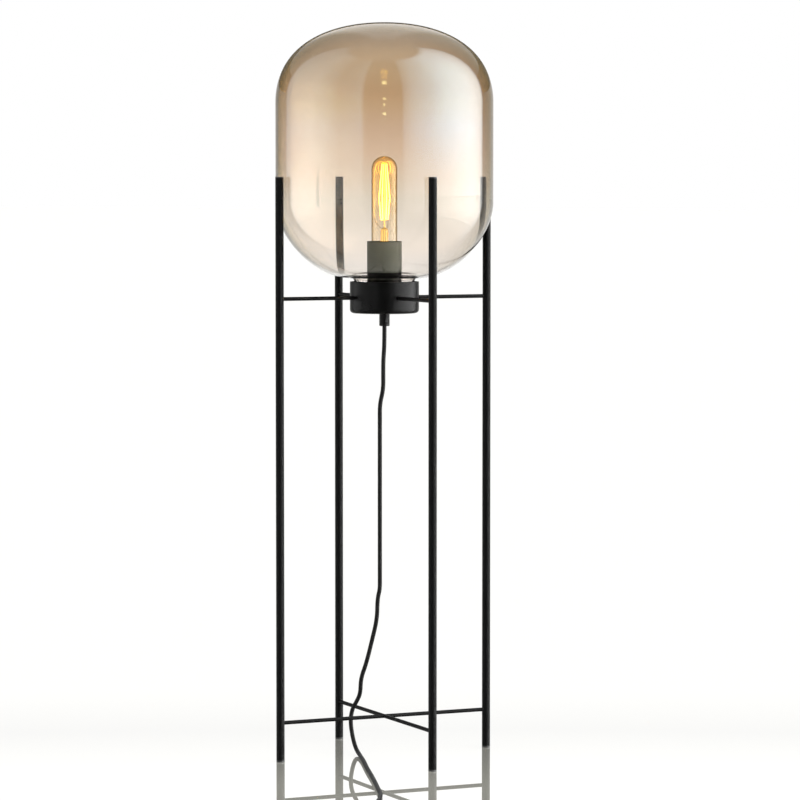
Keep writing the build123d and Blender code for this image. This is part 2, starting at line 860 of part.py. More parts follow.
with BuildPart() as switch_contact:
    strip_start = switch_x + spring_diameter / 2 + strip_gap
    with BuildSketch(Plane.XY.offset(switch_wall)):
        with Locations((strip_start + strip_length / 2, tail_y)):
            Rectangle(strip_length, strip_width)
    extrude(amount=strip_thickness)
save(switch_contact, "switch_contact")


def strain_relief(start_x, toward, height, name):
    """A tapered sleeve on the cord, thick at start_x and thin where toward (1 or -1) points."""
    end_x = start_x + toward * relief_length
    with BuildPart() as relief:
        with BuildSketch(Plane.XZ.offset(-tail_y)):
            Polygon(
                (start_x, height),
                (start_x, height + relief_thick / 2),
                (end_x, height + relief_thin / 2),
                (end_x, height),
                align=None,
            )
        revolve(axis=Axis((start_x, tail_y, height), (toward, 0, 0)))
    save(relief, name)


strain_relief(switch_x + switch_length / 2, 1, switch_cord_height, "switch_relief_in")
strain_relief(switch_x - switch_length / 2, -1, switch_cord_height, "switch_relief_out")

# Plug: flat two-pin body that lies on its side, pins and strain relief
plug_front = plug_x - plug_length
with BuildPart() as plug_body:
    outline = (
        (plug_x, plug_rear_width / 2),
        (plug_x - plug_rear_length, plug_width / 2),
        (plug_front + plug_nose_length, plug_width / 2),
        (plug_front, plug_nose_width / 2),
    )
    one_side = [(x, tail_y + reach) for x, reach in outline]
    other_side = [(x, tail_y - reach) for x, reach in outline]
    with BuildSketch():
        Polygon(*one_side, *reversed(other_side), align=None)
    extrude(amount=plug_thickness)
    fillet(plug_body.edges().filter_by(Axis.Z), plug_edge)
    fillet(plug_body.edges().group_by(Axis.Z)[0], plug_rim)
    fillet(plug_body.edges().group_by(Axis.Z)[-1], plug_rim)
save(plug_body, "plug_body")

for name, side in (("plug_pin_left", -1), ("plug_pin_right", 1)):
    with BuildPart() as plug_pin:
        with BuildSketch(Plane.YZ.offset(plug_front - pin_length)):
            with Locations((tail_y + side * pin_spacing / 2, plug_thickness / 2)):
                Circle(pin_diameter / 2)
        extrude(amount=pin_length)
        fillet(plug_pin.edges().sort_by(Axis.X)[0], pin_edge)
    save(plug_pin, name)

strain_relief(plug_x, 1, plug_thickness / 2, "plug_relief")
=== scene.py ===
"""Glass floor lamp: finishes, cord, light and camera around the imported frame. Metres, +Z up."""

import math

import bmesh
import bpy
from mathutils import Matrix, Vector


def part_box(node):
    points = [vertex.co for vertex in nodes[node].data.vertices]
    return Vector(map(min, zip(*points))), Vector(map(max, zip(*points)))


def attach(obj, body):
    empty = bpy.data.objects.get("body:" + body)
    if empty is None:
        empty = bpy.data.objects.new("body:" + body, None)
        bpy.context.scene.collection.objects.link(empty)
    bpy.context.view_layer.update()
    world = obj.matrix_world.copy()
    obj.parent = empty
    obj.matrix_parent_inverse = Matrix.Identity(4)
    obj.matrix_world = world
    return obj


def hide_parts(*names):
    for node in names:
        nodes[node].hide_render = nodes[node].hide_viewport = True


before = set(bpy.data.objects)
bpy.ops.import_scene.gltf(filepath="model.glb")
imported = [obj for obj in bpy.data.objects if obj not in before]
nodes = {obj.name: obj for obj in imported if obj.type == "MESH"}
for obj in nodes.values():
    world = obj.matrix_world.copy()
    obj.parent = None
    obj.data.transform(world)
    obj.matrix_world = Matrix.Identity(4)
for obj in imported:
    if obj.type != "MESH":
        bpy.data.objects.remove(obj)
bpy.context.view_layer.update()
CORNERS = ("front_right", "back_right", "back_left", "front_left")


def add_object(name, data):
    item = bpy.data.objects.new(name, data)
    bpy.context.scene.collection.objects.link(item)
    return item


# Camera, fitted to the photograph
PHOTO_SIZE = 800
FOCAL_PIXELS = 3667.6
AXIS_PIXEL_X = 384.4  # where the lamp's axis falls
SENSOR = 36.0
CAMERA_AZIMUTH = math.radians(20.6)
CAMERA_PITCH = math.radians(3.55)
CAMERA_DISTANCE = 4.2446
CAMERA_HEIGHT = 0.6774
CAMERA_REACH = 200

toward_camera = Vector((math.sin(CAMERA_AZIMUTH), -math.cos(CAMERA_AZIMUTH), 0))
camera_right = Vector((math.cos(CAMERA_AZIMUTH), math.sin(CAMERA_AZIMUTH), 0))


def make_camera():
    data = bpy.data.cameras.new("camera")
    data.sensor_width = SENSOR
    data.lens = SENSOR * FOCAL_PIXELS / PHOTO_SIZE
    data.clip_end = CAMERA_REACH
    camera = add_object("camera", data)
    camera.location = toward_camera * CAMERA_DISTANCE + Vector((0, 0, CAMERA_HEIGHT))
    offset = (PHOTO_SIZE / 2 - AXIS_PIXEL_X) / FOCAL_PIXELS
    yaw = math.atan(offset * math.cos(CAMERA_PITCH))
    level = camera_right * math.sin(yaw) - toward_camera * math.cos(yaw)
    ahead = level * math.cos(CAMERA_PITCH) - Vector((0, 0, math.sin(CAMERA_PITCH)))
    camera.rotation_mode = "QUATERNION"
    camera.rotation_quaternion = ahead.to_track_quat("-Z", "Y")
    bpy.context.scene.camera = camera


# Node helpers; owner is the material or the world that the nodes are in
def add_node(owner, kind, **settings):
    """A new node; each setting is the value of an input or an attribute."""
    node = owner.node_tree.nodes.new(kind)
    for name, value in settings.items():
        if name in node.inputs:
            node.inputs[name].default_value = value
        else:
            setattr(node, name, value)
    return node


def link(owner, source, target):
    owner.node_tree.links.new(source, target)


def maths(owner, operation, *values):
    """The result of a Math node; each value is a socket or a float."""
    node = add_node(owner, "ShaderNodeMath", operation=operation)
    for socket, value in zip(node.inputs, values):
        if isinstance(value, float):
            socket.default_value = value
        else:
            link(owner, value, socket)
    return node.outputs["Value"]


def map_range(owner, factor, from_span, to_span, **settings):
    """That factor, carried from one span of values over to another."""
    node = add_node(owner, "ShaderNodeMapRange", **settings)
    node.inputs["From Min"].default_value, node.inputs["From Max"].default_value = from_span
    node.inputs["To Min"].default_value, node.inputs["To Max"].default_value = to_span
    link(owner, factor, node.inputs["Value"])
    return node.outputs["Result"]


def ramp(owner, factor, *stops):
    """A colour ramp with stops (position, colour) on that factor."""
    node = add_node(owner, "ShaderNodeValToRGB")
    elements = node.color_ramp.elements
    while len(elements) < len(stops):
        elements.new(0.5)
    for element, (position, value) in zip(elements, stops):
        element.position = position
        element.color = value
    link(owner, factor, node.inputs["Fac"])
    return node.outputs["Color"]


def mix_colours(owner, factor, first, second, blend_type="MIX"):
    """Two colours mixed, each a socket or a constant, in the colour sockets of a Mix node."""
    node = add_node(owner, "ShaderNodeMix", data_type="RGBA", blend_type=blend_type)
    factor_socket, first_socket, second_socket = (node.inputs[number] for number in (0, 6, 7))
    link(owner, factor, factor_socket)
    for socket, value in ((first_socket, first), (second_socket, second)):
        if isinstance(value, tuple):
            socket.default_value = value
        else:
            link(owner, value, socket)
    return node.outputs[2]


def mix_shaders(owner, factor, first, second):
    """The first shader where the factor is 0 and the second where it is 1."""
    node = add_node(owner, "ShaderNodeMixShader")
    link(owner, factor, node.inputs["Fac"])
    link(owner, first, node.inputs[1])
    link(owner, second, node.inputs[2])
    return node.outputs["Shader"]


# Material helpers
NOISE_SPAN = (0.3, 0.7)  # nearly all values of the noise
PATCH_SCALE = 40.0  # cells per metre of a finish's soft patches


def colour(red, green=None, blue=None):
    green = red if green is None else green
    blue = green if blue is None else blue
    return (red, green, blue, 1.0)


def shader(name, **sockets):
    """A new material and its Principled shader, with these of its sockets set."""
    material = bpy.data.materials.new(name)
    material.use_nodes = True
    principled = material.node_tree.nodes["Principled BSDF"]
    for socket, value in sockets.items():
        principled.inputs[socket.replace("_", " ")].default_value = value
    return material, principled


def bare_material(name):
    """A new material without a shader."""
    material, principled = shader(name)
    material.node_tree.nodes.remove(principled)
    return material


def set_surface(material, source):
    link(material, source, material.node_tree.nodes["Material Output"].inputs["Surface"])


def noise(material, scale, detail=3.0):
    """Noise in the piece's own coordinates, scale in cells per metre."""
    place = add_node(material, "ShaderNodeTexCoord")
    texture = add_node(material, "ShaderNodeTexNoise", Scale=scale, Detail=detail)
    link(material, place.outputs["Object"], texture.inputs["Vector"])
    return texture.outputs["Fac"]


def grain(material, principled, scale, height):
    """A bump of that height in metres from noise of that scale."""
    bump = add_node(material, "ShaderNodeBump", Strength=1.0, Distance=height)
    link(material, noise(material, scale), bump.inputs["Height"])
    link(material, bump.outputs["Normal"], principled.inputs["Normal"])


def varied(name, dark, light, roughness, grain_scale, grain_height, **sockets):
    """An opaque finish: colour and gloss vary in soft patches, over a fine grain."""
    material, principled = shader(name, **sockets)
    patches = noise(material, PATCH_SCALE)
    low, high = NOISE_SPAN
    link(material, ramp(material, patches, (low, dark), (high, light)), principled.inputs["Base Color"])
    link(material, map_range(material, patches, NOISE_SPAN, roughness), principled.inputs["Roughness"])
    grain(material, principled, grain_scale, grain_height)
    return material


def height_ramp(material, z_low, z_high, *stops):
    """A colour by the height in the frame, its stops given as heights in metres."""
    place = add_node(material, "ShaderNodeTexCoord")
    split = add_node(material, "ShaderNodeSeparateXYZ")
    link(material, place.outputs["Object"], split.inputs["Vector"])
    height = map_range(material, split.outputs["Z"], (z_low, z_high), (0.0, 1.0))
    places = [((z - z_low) / (z_high - z_low), value) for z, value in stops]
    return ramp(material, height, *places)


def make_glass(name, tint, rim, rim_share, **sockets):
    """Clear tinted glass: tint is stops of colour by height, rim darkens it towards grazing sight.

    rim_share is stops by height of how far that darkening goes.
    """
    material, principled = shader(name, Transmission_Weight=1.0, Roughness=0.0, IOR=1.5, **sockets)
    tinted = height_ramp(material, tint[0][0], tint[-1][0], *tint)
    facing = add_node(material, "ShaderNodeLayerWeight", Blend=0.5)
    edge = ramp(material, facing.outputs["Facing"], *rim)
    share = height_ramp(material, rim_share[0][0], rim_share[-1][0], *rim_share)
    tone = mix_colours(material, share, tinted, edge, blend_type="MULTIPLY")
    link(material, tone, principled.inputs["Base Color"])
    return material, principled


def finish_nodes(material, *names):
    for name in names:
        mesh = nodes[name].data
        mesh.materials.clear()
        mesh.materials.append(material)


# Mesh and curve helpers
ON_AXIS = 1e-7  # a smaller radius counts as none


def curve_points(start, first_pull, second_pull, end, count):
    """Points of a cubic Bezier curve, its start left out."""
    points = []
    for k in range(1, count + 1):
        t = k / count
        weights = ((1 - t) ** 3, 3 * t * (1 - t) ** 2, 3 * t * t * (1 - t), t**3)
        corners = (start, first_pull, second_pull, end)
        points.append(tuple(sum(w * c[i] for w, c in zip(weights, corners)) for i in range(2)))
    return points


def arc_points(centre, radius, start, turn, count):
    """Points of an arc in degrees, its start left out."""
    points = []
    for k in range(1, count + 1):
        angle = math.radians(start + turn * k / count)
        points.append((centre[0] + radius * math.cos(angle), centre[1] + radius * math.sin(angle)))
    return points


def on_ring(radius, height, turn):
    """The point at that share of a turn about the Z axis."""
    angle = 2 * math.pi * turn
    return (radius * math.cos(angle), radius * math.sin(angle), height)


def band(low, high, sides):
    """The faces between two rings of vertices, given the number of each ring's first one."""
    faces = []
    for k in range(sides):
        m = (k + 1) % sides
        faces.append((low + k, low + m, high + m, high + k))
    return faces


def turned(name, outline, steps, sharp=35):
    """A mesh turned about the Z axis from a closed outline of (radius, height).

    A point on the axis is one vertex, and so the faces beside it have three corners.
    """
    verts, faces, rings = [], [], []
    for radius, height in outline:
        if radius < ON_AXIS:
            rings.append([len(verts)] * steps)
            verts.append((0, 0, height))
            continue
        rings.append([len(verts) + k for k in range(steps)])
        verts += [on_ring(radius, height, k / steps) for k in range(steps)]
    for low, high in zip(rings, rings[1:] + rings[:1]):
        for k in range(steps):
            m = (k + 1) % steps
            faces.append(tuple(dict.fromkeys((low[k], low[m], high[m], high[k]))))
    mesh = bpy.data.meshes.new(name)
    mesh.from_pydata(verts, [], [face for face in faces if len(face) > 2])
    shell = bmesh.new()
    shell.from_mesh(mesh)
    bmesh.ops.recalc_face_normals(shell, faces=shell.faces)
    shell.to_mesh(mesh)
    shell.free()
    mesh.shade_smooth()
    mesh.set_sharp_from_angle(angle=math.radians(sharp))
    return mesh


def new_tube(name, diameter, round_steps, along_steps):
    """An empty round curve; add_line gives it its lines."""
    data = bpy.data.curves.new(name, "CURVE")
    data.dimensions = "3D"
    data.bevel_depth = diameter / 2
    data.bevel_resolution = round_steps
    data.resolution_u = along_steps
    return data


def add_line(data, points):
    """A smooth line that starts and ends at the first and last of its control points."""
    spline = data.splines.new("NURBS")
    spline.points.add(len(points) - 1)
    for point, place in zip(spline.points, points):
        point.co = (*place, 1.0)
    spline.order_u = 3
    spline.use_endpoint_u = True


def add_piece(name, data, material, body, slot, *replaced):
    data.materials.append(material)
    piece = add_object(name, data)
    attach(piece, body)
    if replaced:
        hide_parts(*replaced)
    return piece


# Finishes: dark and light colour, span of roughness, cells of grain per metre, height of the grain
black_paint = varied(
    "black_paint", colour(0.0028), colour(0.0042), (0.34, 0.42), 2600, 0.00004, Specular_IOR_Level=0.06
)
cup_satin = varied(
    "cup_satin", colour(0.0012), colour(0.0020), (0.26, 0.32), 3000, 0.00001, Specular_IOR_Level=0.10
)
black_plastic = varied("black_plastic", colour(0.010), colour(0.014), (0.42, 0.55), 3200, 0.00005)
satin_plastic = varied("satin_plastic", colour(0.008), colour(0.012), (0.28, 0.36), 900, 0.00001)
black_rubber = varied("black_rubber", colour(0.012), colour(0.018), (0.6, 0.75), 1500, 0.00004)
cord_sheath = varied(
    "cord_sheath", colour(0.0035), colour(0.0055), (0.40, 0.50), 500, 0.00003, Specular_IOR_Level=0.12
)
grip_black = varied(
    "grip_black", colour(0.0025), colour(0.0040), (0.3, 0.4), 1800, 0.00001, Specular_IOR_Level=0.12
)
# The cover is painted black as shade of the neck and cup up to where the neck stands round it, grey above
# that, and dark at its rim
holder_grey, holder_shader = shader("holder_grey", Roughness=0.5, Specular_IOR_Level=0.15)
cover_tone_and_painted_shade = height_ramp(
    holder_grey,
    0.5225,
    0.598,
    (0.5605, colour(0.0025)),
    (0.5612, colour(0.118, 0.130, 0.108)),
    (0.5750, colour(0.130, 0.143, 0.119)),
    (0.5970, colour(0.140, 0.153, 0.128)),
    (0.5975, colour(0.030, 0.032, 0.028)),
)
link(holder_grey, cover_tone_and_painted_shade, holder_shader.inputs["Base Color"])
grain(holder_grey, holder_shader, 2500, 0.00003)
moulded_black = varied("moulded_black", colour(0.012), colour(0.016), (0.25, 0.35), 700, 0.00002)
zinc = varied(
    "zinc", colour(0.50, 0.50, 0.49), colour(0.60, 0.60, 0.58), (0.28, 0.45), 1200, 0.00002, Metallic=1.0
)
brass = varied(
    "brass", colour(0.62, 0.43, 0.17), colour(0.74, 0.54, 0.24), (0.2, 0.35), 900, 0.00001, Metallic=1.0
)
nickel = varied(
    "nickel", colour(0.62, 0.60, 0.56), colour(0.70, 0.68, 0.64), (0.16, 0.26), 700, 0.00001, Metallic=1.0
)
wire_brown = varied(
    "wire_brown", colour(0.10, 0.04, 0.02), colour(0.13, 0.05, 0.025), (0.4, 0.5), 800, 0.00002
)
wire_blue = varied(
    "wire_blue", colour(0.02, 0.08, 0.30), colour(0.03, 0.10, 0.36), (0.4, 0.5), 800, 0.00002
)

# The tint deepens towards the crown; the specular tint by height is a painted reflection colour, standing
# in for the colour of what the glass mirrors
shade_glass, shade_shader = make_glass(
    "shade_glass",
    [
        (0.555, colour(0.980, 0.950, 0.925)),
        (0.590, colour(0.955, 0.900, 0.840)),
        (0.618, colour(0.898, 0.848, 0.784)),
        (0.646, colour(0.868, 0.812, 0.734)),
        (0.674, colour(0.858, 0.764, 0.662)),
        (0.700, colour(0.832, 0.715, 0.600)),
        (0.730, colour(0.778, 0.657, 0.538)),
        (0.755, colour(0.740, 0.612, 0.465)),
        (0.772, colour(0.705, 0.570, 0.420)),
        (0.800, colour(0.705, 0.590, 0.445)),
        (0.850, colour(0.700, 0.595, 0.475)),
    ],
    [
        (0.0, colour(1.0)),
        (0.27, colour(1.0)),
        (0.37, colour(0.92)),
        (0.47, colour(0.85)),
        (0.57, colour(0.79)),
        (0.66, colour(0.72, 0.71, 0.66)),
        (0.75, colour(0.68, 0.66, 0.46)),
        (0.88, colour(0.48, 0.41, 0.25)),
        (1.0, colour(0.08, 0.06, 0.04)),
    ],
    [(0.555, colour(0.10)), (0.600, colour(0.25)), (0.660, colour(0.75)), (0.700, colour(1.0))],
    Specular_IOR_Level=1.0,
)
# Painted reflection: the specular tint by height colours and weakens what the glass mirrors
painted_reflection_tint = height_ramp(
    shade_glass,
    0.555,
    0.850,
    (0.555, colour(0.20, 0.24, 0.28)),
    (0.590, colour(0.24, 0.25, 0.26)),
    (0.618, colour(0.31, 0.31, 0.31)),
    (0.646, colour(0.33, 0.34, 0.35)),
    (0.674, colour(0.32, 0.38, 0.45)),
    (0.700, colour(0.28, 0.50, 0.69)),
    (0.730, colour(0.35, 0.67, 0.96)),
    (0.762, colour(0.41, 0.74, 1.0)),
    (0.785, colour(0.41, 0.74, 1.0)),
    (0.805, colour(0.36, 0.68, 0.96)),
)
link(shade_glass, painted_reflection_tint, shade_shader.inputs["Specular Tint"])
grain(shade_glass, shade_shader, 5, 0.0002)
bulb_glass, _ = make_glass(
    "bulb_glass",
    [
        (0.600, colour(0.92, 0.88, 0.82)),
        (0.625, colour(0.94, 0.87, 0.76)),
        (0.645, colour(0.975, 0.87, 0.68)),
        (0.697, colour(0.98, 0.86, 0.60)),
    ],
    [
        (0.0, colour(1.0)),
        (0.5, colour(0.98, 0.93, 0.82)),
        (0.8, colour(0.72, 0.52, 0.22)),
        (1.0, colour(0.28, 0.16, 0.05)),
    ],
    [(0.600, colour(1.0)), (0.697, colour(1.0))],
    Specular_Tint=colour(0.25),
)
# The stem's faint orange emission is painted light from the filament
stem_glass, _ = make_glass(
    "stem_glass",
    [(0.590, colour(0.98, 0.86, 0.55)), (0.614, colour(0.98, 0.80, 0.40))],
    [(0.0, colour(1.0)), (1.0, colour(0.8, 0.55, 0.2))],
    [(0.590, colour(1.0)), (0.614, colour(1.0))],
    Emission_Color=colour(1.0, 0.60, 0.12),
    Emission_Strength=0.10,
)
filament_glow, glow_shader = shader("filament_glow", Emission_Strength=100.0, Roughness=0.5)
glow_tone = ramp(
    filament_glow,
    noise(filament_glow, 260),
    (0.35, colour(1.0, 0.44, 0.030)),
    (0.65, colour(1.0, 0.50, 0.045)),
)
link(filament_glow, glow_tone, glow_shader.inputs["Emission Color"])


# Painted light on the bulb's wires: an emitted glow from the filament, and painted dark shade between two
# heights
GOLD = colour(0.88, 0.62, 0.27)
GOLD_GLOW = colour(1.0, 0.62, 0.16)
UNLIT_GOLD = colour(0.05, 0.04, 0.03)
GOLD_FADE = 0.0015  # height over which the gold turns dark
GOLD_GLOW_BELOW = 1.2
GOLD_GLOW_ABOVE = 0.7
GOLD_SPAN = (0.59, 0.70)


def make_gold(name, dark_from, dark_to):
    """Gold wire with painted light from the filament: it glows by emission, and is painted dark as unlit
    shade between these heights.
    """
    material, principled = shader(name, Metallic=1.0, Roughness=0.3, Emission_Color=GOLD_GLOW)
    heights = (dark_from, dark_from + GOLD_FADE, dark_to - GOLD_FADE, dark_to)
    tones = zip(heights, (GOLD, UNLIT_GOLD, UNLIT_GOLD, GOLD))
    lights = zip(heights, (colour(value) for value in (GOLD_GLOW_BELOW, 0.0, 0.0, GOLD_GLOW_ABOVE)))
    link(material, height_ramp(material, *GOLD_SPAN, *tones), principled.inputs["Base Color"])
    link(material, height_ramp(material, *GOLD_SPAN, *lights), principled.inputs["Emission Strength"])
    return material


support_gold = make_gold("support_gold", 0.5925, 0.596)
lead_gold = make_gold("lead_gold", 0.612, 0.6265)

finish_nodes(black_paint, *[f"{kind}_{corner}" for kind in ("leg", "arm") for corner in CORNERS])
finish_nodes(black_paint, "rail_long", "rail_half_front_right", "rail_half_back_left")
finish_nodes(cup_satin, "holder_cup")
finish_nodes(black_plastic, *[f"{kind}_{corner}" for kind in ("leg_cap", "glide") for corner in CORNERS])
finish_nodes(black_rubber, "seat_ring", "switch_relief_in", "switch_relief_out", "plug_relief")
finish_nodes(zinc, "nipple", "cup_washer", "cup_nut", "bulb_contact", "switch_spring")
finish_nodes(support_gold, "bulb_supports")
finish_nodes(grip_black, "cord_grip", "grip_screw")
finish_nodes(satin_plastic, "switch_button")
finish_nodes(holder_grey, "holder_cover")
finish_nodes(moulded_black, "holder_cap", "holder_body", "bulb_insulator")
finish_nodes(brass, "screw_shell", "centre_contact", "terminal_live", "terminal_neutral")
finish_nodes(brass, "bulb_cap", "switch_contact")
finish_nodes(wire_brown, "wire_live")
finish_nodes(wire_blue, "wire_neutral")
finish_nodes(shade_glass, "glass_shade")
finish_nodes(bulb_glass, "bulb_glass")
finish_nodes(stem_glass, "bulb_stem")
finish_nodes(filament_glow, "bulb_filament")
finish_nodes(cord_sheath, "cord_inlet", "cord_lead", "cord_tail", "cord_coil", "cord_end")
finish_nodes(black_plastic, "switch_base", "switch_cover", "plug_body")
finish_nodes(nickel, "plug_pin_left", "plug_pin_right")


# Cord: one smooth line from the grip through the switch and the coil into the plug
CORD_DIAMETER = 0.005
CORD_FLOOR = CORD_DIAMETER / 2
CORD_ROUND_STEPS = 5
CORD_ALONG_STEPS = 10
TAIL_Y = -0.497
COIL_X = -0.040
COIL_RADIUS = 0.035
COIL_PITCH = 0.0056
COIL_TURNS_PER_LAYER = 2
COIL_LEAD = CORD_DIAMETER
UPPER_LAYER = CORD_FLOOR + COIL_PITCH
SWITCH_CORD_HEIGHT = 0.0042
SWITCH_RUN = 0.015  # straight cord into the switch
TAIL_RUN = 0.0055  # straight cord out of the switch
COIL_RUN = 0.009  # straight cord into the coil
PLUG_RUN = 0.0075  # straight cord out of the coil, and into the plug's relief
HUMP = 0.0009  # of the cord above the floor, in front of the switch
POINTS_PER_HALF_TURN = 8

plug_low, plug_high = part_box("plug_body")
plug_middle_height = (plug_low.z + plug_high.z) / 2
plug_relief_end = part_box("plug_relief")[1].x
switch_near_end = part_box("switch_relief_in")[1].x
switch_far_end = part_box("switch_relief_out")[0].x
cord_exit = (0, 0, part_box("cord_grip")[0].z)

LEAD_ROUTE = [
    cord_exit,
    (0, 0, 0.478),
    (-0.0012, -0.0004, 0.462),
    (-0.0014, -0.0003, 0.444),
    (-0.0014, -0.0001, 0.4266),
    (-0.0053, -0.0011, 0.4092),
    (-0.0055, -0.0006, 0.392),
    (-0.0070, 0.0033, 0.300),
    (-0.0090, 0.0086, 0.205),
    (-0.0093, 0.0093, 0.192),
    (-0.0122, 0.0091, 0.181),
    (-0.0132, 0.0105, 0.157),
    (-0.0198, 0.0107, 0.131),
    (-0.0269, 0.0108, 0.104),
    (-0.0336, 0.0103, 0.086),
    (-0.0346, 0.0118, 0.068),
    (-0.0398, 0.0113, 0.0575),
    (-0.0446, 0.0106, 0.049),
    (-0.0462, 0.0090, 0.036),
    (-0.0425, 0.0050, 0.020),
    (-0.0344, -0.0052, 0.0065),
    (-0.0210, -0.0270, CORD_FLOOR),
    (-0.0010, -0.0660, CORD_FLOOR),
    (0.0232, -0.1175, CORD_FLOOR),
    (0.0509, -0.1730, CORD_FLOOR),
    (0.0780, -0.2300, CORD_FLOOR),
    (0.1045, -0.2865, CORD_FLOOR),
    (0.1170, -0.3420, CORD_FLOOR),
    (0.1250, -0.3970, CORD_FLOOR),
    (0.1280, -0.4460, CORD_FLOOR),
    (0.1275, -0.4750, CORD_FLOOR),
    (0.1195, -0.4890, CORD_FLOOR + HUMP),
    (switch_near_end + SWITCH_RUN, TAIL_Y, SWITCH_CORD_HEIGHT),
    (switch_near_end, TAIL_Y, SWITCH_CORD_HEIGHT),
]
TAIL_ROUTE = [
    (switch_far_end, TAIL_Y, SWITCH_CORD_HEIGHT),
    (switch_far_end - TAIL_RUN, TAIL_Y, SWITCH_CORD_HEIGHT),
    (COIL_X + COIL_LEAD + COIL_RUN, TAIL_Y, CORD_FLOOR),
    (COIL_X + COIL_LEAD, TAIL_Y, CORD_FLOOR),
]
END_ROUTE = [
    (COIL_X - COIL_LEAD, TAIL_Y, UPPER_LAYER),
    (COIL_X - COIL_LEAD - PLUG_RUN, TAIL_Y, UPPER_LAYER),
    (plug_relief_end + PLUG_RUN, TAIL_Y, plug_middle_height),
    (plug_relief_end, TAIL_Y, plug_middle_height),
    (plug_high.x, TAIL_Y, plug_middle_height),
]


def coil_route():
    """Two layers of half turns, spiralling in on the floor and out again on top."""
    half_turns = 2 * COIL_TURNS_PER_LAYER
    inward = [COIL_RADIUS - k * COIL_PITCH / 2 for k in range(half_turns)]
    climbing = [COIL_RADIUS - half_turns * COIL_PITCH / 2]
    radii = inward + climbing + inward[:0:-1]
    step = math.pi / POINTS_PER_HALF_TURN
    bulge = 1 / (0.75 + 0.25 * math.cos(step))  # the spline runs inside its control points
    route = []
    start_y = TAIL_Y
    for number, radius in enumerate(radii):
        side = 1 if number % 2 == 0 else -1
        centre_y = start_y + side * radius
        low = CORD_FLOOR if number <= half_turns else UPPER_LAYER
        high = CORD_FLOOR if number < half_turns else UPPER_LAYER
        for k in range(POINTS_PER_HALF_TURN):
            share = (k + 0.5) / POINTS_PER_HALF_TURN
            angle = math.pi * share
            x = COIL_X - side * radius * bulge * math.sin(angle)
            y = centre_y - side * radius * bulge * math.cos(angle)
            rise = share * share * (3 - 2 * share)
            route.append((x, y, low + (high - low) * rise))
        start_y += 2 * side * radius
    return route


def make_cord():
    """The free cord, in place of the frame's stretches of cord."""
    data = new_tube("cord", CORD_DIAMETER, CORD_ROUND_STEPS, CORD_ALONG_STEPS)
    data.use_fill_caps = True
    add_line(data, LEAD_ROUTE + TAIL_ROUTE + coil_route() + END_ROUTE)
    stretches = ("cord_lead", "cord_tail", "cord_coil", "cord_end")
    cord = add_piece("cord", data, cord_sheath, "stand", "cord_black", *stretches)


# Glass shade: the shell of the frame's node, turned finer
GLASS_WALL = 0.0025
CROWN_DEPTH = 0.092
CROWN_FULLNESS = 0.62
BELLY_DEPTH = 0.0885
BELLY_FULLNESS = 0.48
NECK_LENGTH = 0.0352
NECK_RADIUS = 0.035
NECK_FILLET = 0.004
FILLET_STEPS = 12
BELLY_STEPS = 48
SIDE_STEPS = 12
CROWN_STEPS = 64
SHADE_STEPS_ROUND = 256


def shade_outline(inset):
    low_corner, high_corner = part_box("glass_shade")
    neck_end = low_corner.z
    belly = neck_end + NECK_LENGTH
    hip = belly + BELLY_DEPTH
    shoulder = high_corner.z - CROWN_DEPTH
    side = high_corner.x - inset
    top = high_corner.z - inset
    low = belly + inset
    neck = NECK_RADIUS - inset
    turn = NECK_RADIUS + NECK_FILLET
    points = [(neck, neck_end)]
    points.append((neck, belly - NECK_FILLET))
    points += arc_points((turn, belly - NECK_FILLET), NECK_FILLET + inset, 180, -90, FILLET_STEPS)
    points += curve_points(
        (turn, low),
        (turn + (side - turn) * BELLY_FULLNESS, low),
        (side, hip - (hip - low) * BELLY_FULLNESS),
        (side, hip),
        BELLY_STEPS,
    )
    points += [(side, hip + (shoulder - hip) * k / SIDE_STEPS) for k in range(1, SIDE_STEPS + 1)]
    points += curve_points(
        (side, shoulder),
        (side, shoulder + (top - shoulder) * CROWN_FULLNESS),
        (side * CROWN_FULLNESS, top),
        (0, top),
        CROWN_STEPS,
    )
    return points


def make_shade():
    outline = shade_outline(0) + shade_outline(GLASS_WALL)[::-1]
    mesh = turned("shade", outline, SHADE_STEPS_ROUND)
    add_piece("shade", mesh, shade_glass, "shade", "shade_glass", "glass_shade")


# Bulb: the wires that carry the filament, and the thread of its cap
BULB_WIRE = 0.0004
BULB_WIRE_ROUND_STEPS = 3
BULB_WIRE_ALONG_STEPS = 8
LONG_LEAD = [  # distance to the right of the axis, height
    (-0.0034, 0.592),
    (-0.0034, 0.6125),
    (-0.0062, 0.6150),
    (-0.0104, 0.6210),
    (-0.0119, 0.6260),
    (-0.0122, 0.650),
    (-0.0120, 0.676),
    (-0.0100, 0.6860),
    (-0.0050, 0.6895),
    (0, 0.6885),
]
SHORT_LEAD = [(0.0034, 0.592), (0.0034, 0.6125), (0.0042, 0.617), (0.0042, 0.6225)]
STEM_WIRES = [[(side, 0.590), (side, 0.6105)] for side in (-0.0018, 0.0, 0.0018)]
HOOK = [  # distance out from the axis, height
    (0.0006, 0.6886),
    (0.0045, 0.6908),
    (0.0085, 0.6885),
    (0.0105, 0.6830),
    (0.0098, 0.6775),
    (0.0070, 0.6755),
]
HOOKS = 8
THREAD_PITCH = 0.00363
THREAD_DEPTH = 0.0009
THREAD_MARGIN = 0.0025  # plain wall below and above the thread
THREAD_FADE_ROWS = 6
THREAD_ROWS = 84
THREAD_SIDES = 96
CAP_FOOT = (0.0085, 0.0112)  # inner and outer radius of the face at its lower end
CAP_WALL = 0.0003


def upright_line(data, route, out):
    """A line in the upright plane through the axis that faces that way."""
    add_line(data, [out * reach + Vector((0, 0, height)) for reach, height in route])


